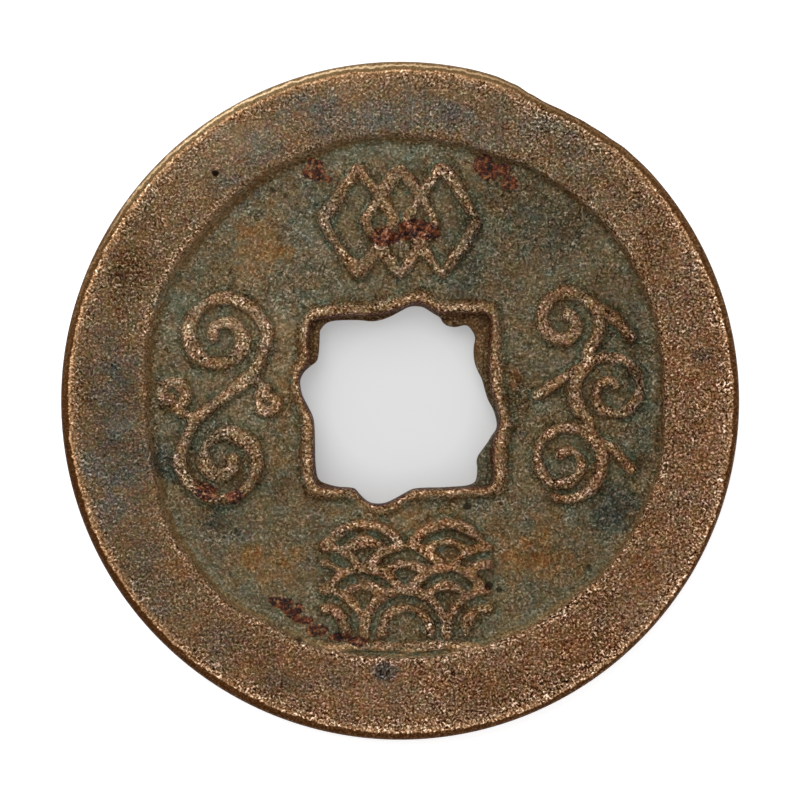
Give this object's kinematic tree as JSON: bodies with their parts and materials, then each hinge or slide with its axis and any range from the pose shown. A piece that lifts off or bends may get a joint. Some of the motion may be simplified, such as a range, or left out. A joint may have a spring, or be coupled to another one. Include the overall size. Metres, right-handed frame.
{
  "type": "cash coin",
  "caption": "Round cast bronze coin with wide raised rims, ornament in relief on the sunken face and a squarish string hole.",
  "frame": {"origin": "middle of the round outline, on the plane the reverse rim rests on", "axes": "+Z out of the obverse, +Y towards the picture's top, +X towards its right"},
  "size_m": [0.0244, 0.0244, 0.0013],
  "materials": {
    "bronze": "brown patinated leaded bronze, golden where worn on the rims, grey-green in the field"
  },
  "bodies": {
    "root": {"cast_coin": "bronze"}
  },
  "joints": []
}
